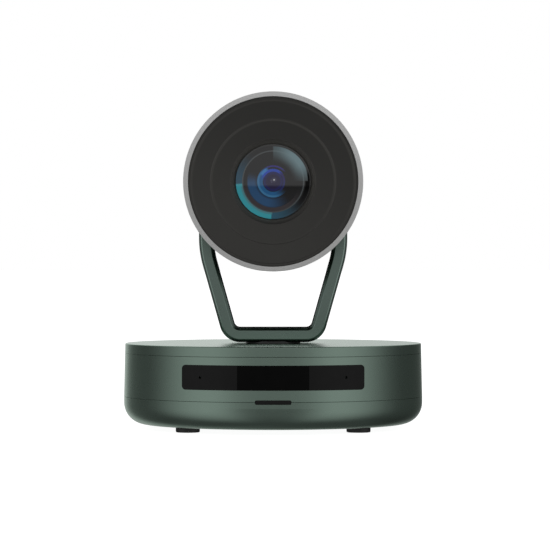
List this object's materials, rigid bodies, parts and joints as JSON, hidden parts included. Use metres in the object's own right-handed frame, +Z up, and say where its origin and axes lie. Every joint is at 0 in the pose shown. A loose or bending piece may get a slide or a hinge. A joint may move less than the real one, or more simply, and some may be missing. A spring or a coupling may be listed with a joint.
{
  "type": "ptz camera",
  "caption": "Pan-tilt-zoom conference camera: round base with front and socket panels, turning U-shaped yoke and tilting round head with a zoom lens.",
  "frame": {"origin": "on the surface the feet stand on, under the middle of the round base, where the pan axis meets it", "axes": "+Z up along the pan axis; the lens looks along -Y at rest; +X to the right of someone facing the lens, along the tilt axis"},
  "size_m": [0.145, 0.145, 0.1617],
  "materials": {
    "housing_paint": "satin dark green metallic paint, fine grain",
    "black_panel": "smooth black infrared-pass plastic",
    "black_gloss": "high-gloss black infrared-pass window",
    "status_lens": "smoked translucent light pipe",
    "rubber": "black moulded rubber",
    "brass": "turned brass",
    "steel": "brushed steel",
    "motor_steel": "zinc-plated steel",
    "aluminium": "machined aluminium",
    "circuit_board": "green solder mask",
    "socket_metal": "nickel-plated sheet",
    "socket_plastic": "black moulded plastic",
    "audio_plastic": "green moulded plastic",
    "button_plastic": "light grey moulded plastic",
    "screw_steel": "black oxide",
    "pulley_plastic": "dark moulded plastic",
    "belt_rubber": "black toothed-belt rubber",
    "neck_black": "black moulded plastic",
    "liner_black": "black moulded plastic",
    "cable_sheath": "flexible flat cable",
    "ring_silver": "fine bead-blasted anodised aluminium",
    "disc_grey": "satin anthracite",
    "coated_glass": "multi-coated optical glass",
    "barrel_black": "matt black moulded plastic",
    "block_black": "black glass-filled plastic"
  },
  "bodies": {
    "base": {"base_tray": "housing_paint", "base_band": "housing_paint", "top_cover": "housing_paint", "front_panel": "black_panel", "ir_window": "black_gloss", "status_light": "status_lens", "rubber_feet": "rubber", "tripod_insert": "brass", "chassis_plate": "steel", "mainboard": "circuit_board", "heat_sink": "aluminium", "rear_panel": "socket_plastic", "lan_port": "socket_metal", "hdmi_port": "socket_metal", "usb_port": "socket_metal", "power_inlet": "socket_plastic", "audio_jack": "audio_plastic", "pan_motor": "motor_steel", "pan_motor_bracket": "steel", "pan_bearing_plate": "aluminium", "pan_bearing_outer": "steel", "pan_belt": "belt_rubber", "ir_receiver_board": "circuit_board", "mic_capsules": "motor_steel", "base_screws": "screw_steel"},
    "reset": {"reset_button": "button_plastic"},
    "pan_drive": {"pan_motor_pulley": "aluminium"},
    "turret": {"pan_spindle": "steel", "pan_bearing_inner": "steel", "pan_pulley": "pulley_plastic", "neck_collar": "neck_black", "yoke_frame": "housing_paint", "yoke_liner": "liner_black", "yoke_screws": "screw_steel", "turret_cable": "cable_sheath", "tilt_hubs": "steel", "tilt_fixed_pulley": "pulley_plastic", "hub_covers": "liner_black", "hub_screws": "screw_steel", "pivot_caps": "housing_paint"},
    "head": {"head_shell": "housing_paint", "rear_cover": "housing_paint", "front_ring": "ring_silver", "lens_bezel": "disc_grey", "front_glass": "coated_glass", "lens_trim_ring": "aluminium", "lens_barrel": "barrel_black", "objective_lens": "coated_glass", "inner_lens": "coated_glass", "zoom_block": "block_black", "guide_rods": "steel", "lens_motors": "motor_steel", "sensor_board": "circuit_board", "tilt_bearings": "steel", "tilt_motor": "motor_steel", "tilt_belt": "belt_rubber", "head_screws": "screw_steel"},
    "tilt_drive": {"tilt_motor_pulley": "aluminium"},
    "zoom_stage": {"zoom_carrier": "block_black"},
    "focus_stage": {"focus_carrier": "block_black"}
  },
  "joints": [
    {"name": "pan", "type": "hinge", "parent": "base", "child": "turret", "pos_m": [0, 0, 0.0415], "axis": [0, 0, 1], "range_deg": [-170, 170]},
    {"name": "tilt", "type": "hinge", "parent": "turret", "child": "head", "pos_m": [0, 0, 0.1191], "axis": [-1, 0, 0], "range_deg": [-30, 90]},
    {"name": "pan_motor_spin", "type": "hinge", "parent": "base", "child": "pan_drive", "pos_m": [-0.028, 0.028, 0.025], "axis": [0, 0, 1], "range_deg": [-624, 624]},
    {"name": "tilt_motor_spin", "type": "hinge", "parent": "head", "child": "tilt_drive", "pos_m": [0, 0, 0.1446], "axis": [-1, 0, 0], "range_deg": [-181, 61]},
    {"name": "zoom", "type": "slide", "parent": "head", "child": "zoom_stage", "axis": [0, 1, 0], "range_m": [0, 0.01]},
    {"name": "focus", "type": "slide", "parent": "head", "child": "focus_stage", "axis": [0, 1, 0], "range_m": [-0.003, 0.003]},
    {"name": "reset_press", "type": "slide", "parent": "base", "child": "reset", "axis": [0, -1, 0], "range_m": [0, 0.0006], "stiffness_N_per_m": 400}
  ],
  "couplings": [
    {"joint": "pan_motor_spin", "follows": "pan", "ratio": 3.6667},
    {"joint": "tilt_motor_spin", "follows": "tilt", "ratio": -2}
  ]
}
